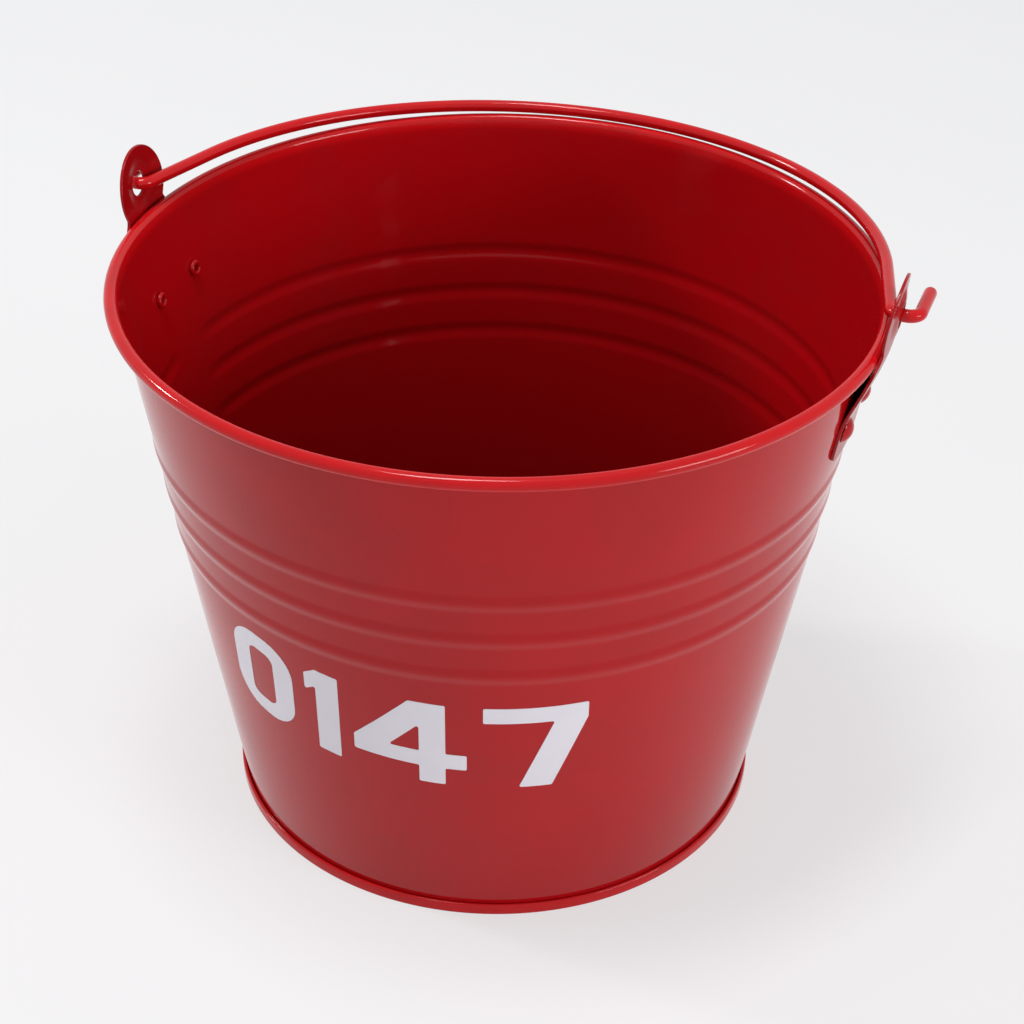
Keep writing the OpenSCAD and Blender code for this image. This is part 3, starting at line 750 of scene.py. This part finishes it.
BAIL_R = 2.5 * MM
BAIL_ARC_R = BEAD_RING_R - 2.9 * MM
BAIL_ARC_Y = 5 * MM
BAIL_LEG_A = math.radians(13.5)
BAIL_BEND_R = 4.5 * MM
BAIL_PASS = 2 * MM
BAIL_SIDES = 36
HOOK_LEN = 18 * MM
REST_GAP = 0.3 * MM

# Painted light: the wire is as bright a red as the bead, from end to end.
WIRE_PAINTED_LIGHT_DEEP_RED = linear("#C20D14")
wire_coat = powder_coat("thick_red_powder_coat", PAINTED_LIGHT_RED, WIRE_PAINTED_LIGHT_DEEP_RED, PAINTED_LIGHT_RED, 0.10)

leg_reach = BAIL_ARC_R + BAIL_ARC_Y * math.sin(BAIL_LEG_A)
pass_x = (leg_reach + BAIL_BEND_R * (1 - math.sin(BAIL_LEG_A))) / math.cos(BAIL_LEG_A)
hook_bend_x = pass_x + BAIL_PASS
hook_x = hook_bend_x + BAIL_BEND_R
bail_back = BAIL_ARC_R + BAIL_ARC_Y
pivot_reach = math.hypot(BEAD_RING_R, PIVOT_Z - BEAD_Z)
rest_reach = BEAD_R + BAIL_R + REST_GAP
rest_cos = (bail_back ** 2 + pivot_reach ** 2 - rest_reach ** 2) / (2 * bail_back * pivot_reach)
bail_tilt = math.atan2(PIVOT_Z - BEAD_Z, BEAD_RING_R) - math.acos(rest_cos)

# Half of the bail in its own plane, from the tip of the hook to the middle. The wire
# thins away over the last 2.5 mm, which gives it a round end.
tip_y = BAIL_BEND_R + HOOK_LEN
leg_turn = math.degrees(BAIL_LEG_A)
half_bail = [(hook_x, tip_y + BAIL_R * math.sin(a), BAIL_R * math.cos(a))
             for a in spaced(math.pi / 2 - 0.02, 0, 10)]
half_bail += [(hook_x, y, BAIL_R) for y in spaced(tip_y, BAIL_BEND_R, 8)[1:-1]]
half_bail += [(x, y, BAIL_R) for x, y in arc((hook_bend_x, BAIL_BEND_R), BAIL_BEND_R, 0, -90, 18)]
half_bail += [(x, y, BAIL_R) for x, y in arc(
    (pass_x, BAIL_BEND_R), BAIL_BEND_R, -90, leg_turn - 180, 18)]
leg_start = half_bail[-1]
bow = [(x, y, BAIL_R) for x, y in arc((0, BAIL_ARC_Y), BAIL_ARC_R, leg_turn, 90, 100)]
for share in spaced(0, 1, 12)[1:-1]:
    half_bail.append(tuple(a + (b - a) * share for a, b in zip(leg_start, bow[0])))
half_bail += bow
bail_line = half_bail + [(-x, y, r) for x, y, r in half_bail[-2::-1]]


def tube_tree(name):
    """Sweeps a circle along a line, as wide as the line's own radius at each point."""
    tree = bpy.data.node_groups.new(name, "GeometryNodeTree")
    tree.interface.new_socket("Line", in_out="INPUT", socket_type="NodeSocketGeometry")
    tree.interface.new_socket("Sides", in_out="INPUT", socket_type="NodeSocketInt")
    tree.interface.new_socket("Finish", in_out="INPUT", socket_type="NodeSocketMaterial")
    tree.interface.new_socket("Piece", in_out="OUTPUT", socket_type="NodeSocketGeometry")
    given = put(tree, "NodeGroupInput").outputs
    width = put(tree, "GeometryNodeInputNamedAttribute", {"Name": "wire_radius"}, data_type="FLOAT")
    path = put(tree, "GeometryNodeMeshToCurve", {"Mesh": given["Line"]})
    ring = put(tree, "GeometryNodeCurvePrimitiveCircle", {
        "Resolution": given["Sides"], "Radius": 1.0})
    tube = put(tree, "GeometryNodeCurveToMesh", {
        "Curve": path.outputs[0], "Profile Curve": ring.outputs[0],
        "Scale": width.outputs["Attribute"], "Fill Caps": True})
    tube = put(tree, "GeometryNodeRealizeInstances", {"Geometry": tube.outputs[0]})
    tube = put(tree, "GeometryNodeSetMaterial", {
        "Geometry": tube.outputs[0], "Material": given["Finish"]})
    put(tree, "NodeGroupOutput", {"Piece": tube.outputs[0]})
    return tree


bail_object = line_object("bail_wire", [
    (x, y * math.cos(bail_tilt), PIVOT_Z - y * math.sin(bail_tilt)) for x, y, r in bail_line])
widths = bail_object.data.attributes.new("wire_radius", "FLOAT", "POINT")
widths.data.foreach_set("value", [r for x, y, r in bail_line])
bail = run_tree(bail_object, tube_tree("swept_wire"), {"Sides": BAIL_SIDES, "Finish": wire_coat})
outward(bail)
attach(bail, "bail")
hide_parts("bail_handle")


# Marking: four figures cut from white self-adhesive vinyl and laid on the wall in one
# straight line, so on the cone the line bends and each figure leans with its place.

DIGIT_H = 43.5 * MM
STROKE_W = 10 * MM
BAR_W = 8 * MM
DIGIT_Z = 74.5 * MM
MARKING_ANGLE = math.radians(-89.2)
UPRIGHT_ANGLE = math.radians(-71.5)
DIGIT_GAP = 6 * MM
DIGIT_WIDTHS = [33 * MM, 15 * MM, 44 * MM, 39 * MM]
VINYL_LOW = 0.02 * MM
VINYL_TOP = 0.15 * MM
VINYL_CORNER_R = 0.7 * MM
SLICE_W = 2.5 * MM
CUT_SLACK = 1e-7
VINYL_CLOUD_SCALE = 60.0
VINYL_GRAIN_SCALE = 900.0
VINYL_GRAIN_H = 0.006 * MM


def vinyl_sheet(name):
    """White cast vinyl: satin, faintly blue against the red, with a very soft grain."""
    material, tree, shader, coords = new_material(name)
    cloud = put(tree, "ShaderNodeTexNoise", {
        "Vector": coords, "Scale": VINYL_CLOUD_SCALE, "Detail": 2.0})
    colour = put(tree, "ShaderNodeMix", {
        0: cloud.outputs["Fac"], "A": linear("#EBE7EE"), "B": linear("#E3DFE8")}, data_type="RGBA")
    tree.links.new(colour.outputs["Result"], shader.inputs["Base Color"])
    shader.inputs["Roughness"].default_value = 0.42
    grain = put(tree, "ShaderNodeTexNoise", {
        "Vector": coords, "Scale": VINYL_GRAIN_SCALE, "Detail": 1.0})
    bump = put(tree, "ShaderNodeBump", {
        "Height": grain.outputs["Fac"], "Strength": 1.0, "Distance": VINYL_GRAIN_H})
    tree.links.new(bump.outputs[0], shader.inputs["Normal"])
    return material


vinyl = vinyl_sheet("satin_white_vinyl")


def soft_ring(corners):
    """A closed outline whose sharp corners are rounded a little, as a blade cuts them."""
    line = []
    for i, corner in enumerate(corners):
        before, after = corners[i - 1], corners[(i + 1) % len(corners)]
        line += rounded([before, corner, after], [VINYL_CORNER_R], 4)[1:-1]
    return line


def round_box(left, low, width, height, radius):
    """A rectangle with round corners, anticlockwise from its lower right corner."""
    right, high = left + width - radius, low + height - radius
    left, low = left + radius, low + radius
    return (arc((right, low), radius, -90, 0, 12) + arc((right, high), radius, 0, 90, 12)
            + arc((left, high), radius, 90, 180, 12) + arc((left, low), radius, 180, 270, 12))


def digit_outlines():
    """The outline of each figure and of the hole in it, from (0, 0) to (width, DIGIT_H)."""
    zero_w, one_w, four_w, seven_w = DIGIT_WIDTHS
    zero_r = 14 * MM
    hole_w, hole_h = zero_w - 2 * STROKE_W, DIGIT_H - 2 * BAR_W
    zero = [round_box(0, 0, zero_w, DIGIT_H, zero_r),
            round_box(STROKE_W, BAR_W, hole_w, hole_h, zero_r - STROKE_W)]
    stem = one_w - STROKE_W
    flag = DIGIT_H - 13 * MM
    one = [soft_ring([(stem, 0), (one_w, 0), (one_w, DIGIT_H), (stem, DIGIT_H),
                      (0, DIGIT_H - BAR_W / 2), (0, flag), (stem, flag + BAR_W / 2)])]
    stem = four_w - STROKE_W - BAR_W
    arm = 9 * MM
    arm_top = arm + BAR_W
    four = [soft_ring([(stem, 0), (stem + STROKE_W, 0), (stem + STROKE_W, arm), (four_w, arm),
                       (four_w, arm_top), (stem + STROKE_W, arm_top), (stem + STROKE_W, DIGIT_H),
                       (stem - BAR_W / 2, DIGIT_H), (0, arm_top), (0, arm), (stem, arm)]),
            soft_ring([(STROKE_W + BAR_W / 2, arm_top), (stem, arm_top),
                       (stem, DIGIT_H - STROKE_W - BAR_W / 4)])]
    bar = DIGIT_H - BAR_W
    leg_x, leg_w = 13.5 * MM, 12.5 * MM
    seven = [soft_ring([(0, DIGIT_H), (seven_w, DIGIT_H), (seven_w, bar), (leg_x + leg_w, 0),
                        (leg_x, 0), (seven_w - leg_w, bar), (0, bar)])]
    return [zero, one, four, seven]


def figure_mesh(name, outlines, width, middle):
    """A figure filled, sliced upright, given its thickness, and laid on the cone about an angle."""
    solid = bmesh.new()
    for outline in outlines:
        ring = [solid.verts.new((u - width / 2, v - DIGIT_H / 2, 0)) for u, v in outline]
        for i, vert in enumerate(ring):
            solid.edges.new((ring[i - 1], vert))
    bmesh.ops.triangle_fill(solid, edges=solid.edges[:], use_beauty=True)
    for u in spaced(-width / 2, width / 2, round(width / SLICE_W) + 1)[1:-1]:
        parts = solid.verts[:] + solid.edges[:] + solid.faces[:]
        bmesh.ops.bisect_plane(
            solid, geom=parts, plane_co=(u, 0, 0), plane_no=(1, 0, 0), dist=CUT_SLACK)
    grown = bmesh.ops.extrude_face_region(solid, geom=solid.faces[:])
    for vert in grown["geom"]:
        if isinstance(vert, bmesh.types.BMVert):
            vert.co.z = 1
    apex_z = SEAM_H - FOOT_R / math.tan(WALL_TILT)
    lean = (middle - UPRIGHT_ANGLE) * math.sin(WALL_TILT)
    lift = FOOT_R / math.sin(WALL_TILT) * (1 / math.cos(lean) - 1)
    middle_z = DIGIT_Z + (DIGIT_H / 2 + lift) * math.cos(WALL_TILT)
    reach = wall_r(middle_z) / math.sin(WALL_TILT)
    for vert in solid.verts:
        side = vert.co.x * math.cos(lean) - vert.co.y * math.sin(lean)
        up = reach + vert.co.x * math.sin(lean) + vert.co.y * math.cos(lean)
        off = VINYL_TOP if vert.co.z > 0.5 else VINYL_LOW
        out = math.hypot(side, up)
        angle = middle + math.atan2(side, up) / math.sin(WALL_TILT)
        radius = out * math.sin(WALL_TILT) + off * math.cos(WALL_TILT)
        height = apex_z + out * math.cos(WALL_TILT) - off * math.sin(WALL_TILT)
        vert.co = (radius * math.cos(angle), radius * math.sin(angle), height)
    mesh = bpy.data.meshes.new(name)
    solid.to_mesh(mesh)
    solid.free()
    mesh.materials.append(vinyl)
    return mesh


marking_w = sum(DIGIT_WIDTHS) + DIGIT_GAP * (len(DIGIT_WIDTHS) - 1)
marking_r = wall_r(DIGIT_Z + DIGIT_H / 2)
digit_left = 0
for number, outlines, width in zip("0147", digit_outlines(), DIGIT_WIDTHS):
    middle = MARKING_ANGLE + (digit_left + width / 2 - marking_w / 2) / marking_r
    digit_left += width + DIGIT_GAP
    name = "vinyl_" + number
    figure = outward(mesh_object(name, figure_mesh(name, outlines, width, middle)), 30)
    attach(figure, "bucket")
    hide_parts("digit_" + number)
